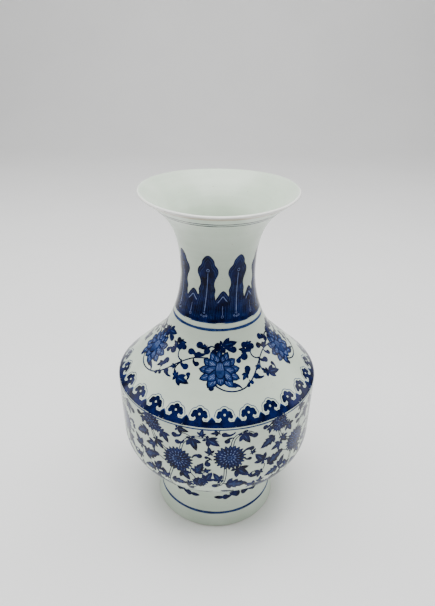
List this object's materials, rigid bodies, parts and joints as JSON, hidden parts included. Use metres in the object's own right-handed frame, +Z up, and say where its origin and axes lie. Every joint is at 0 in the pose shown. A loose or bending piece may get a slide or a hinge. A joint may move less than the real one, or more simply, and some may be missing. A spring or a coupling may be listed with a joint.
{
  "type": "vase",
  "caption": "Flaring-mouthed porcelain vase with a narrow neck, conical shoulder, drum-shaped belly and high hollow foot, painted in blue on white.",
  "frame": {"origin": "centre of the circle that the foot stands on", "axes": "+Z up along the vase's turning axis; X and Y are any two level directions"},
  "size_m": [0.199, 0.199, 0.35],
  "materials": {
    "glaze": "glossy transparent glaze over white porcelain",
    "bare_clay": "matt unglazed porcelain",
    "cobalt": "cobalt blue painting under glossy glaze"
  },
  "bodies": {
    "root": {"neck_section": "glaze", "shoulder_section": "glaze", "belly_section": "glaze", "foot_ring": "glaze", "neck_slip_ring": "bare_clay", "shoulder_slip_ring": "bare_clay", "foot_slip_ring": "bare_clay"}
  },
  "joints": []
}
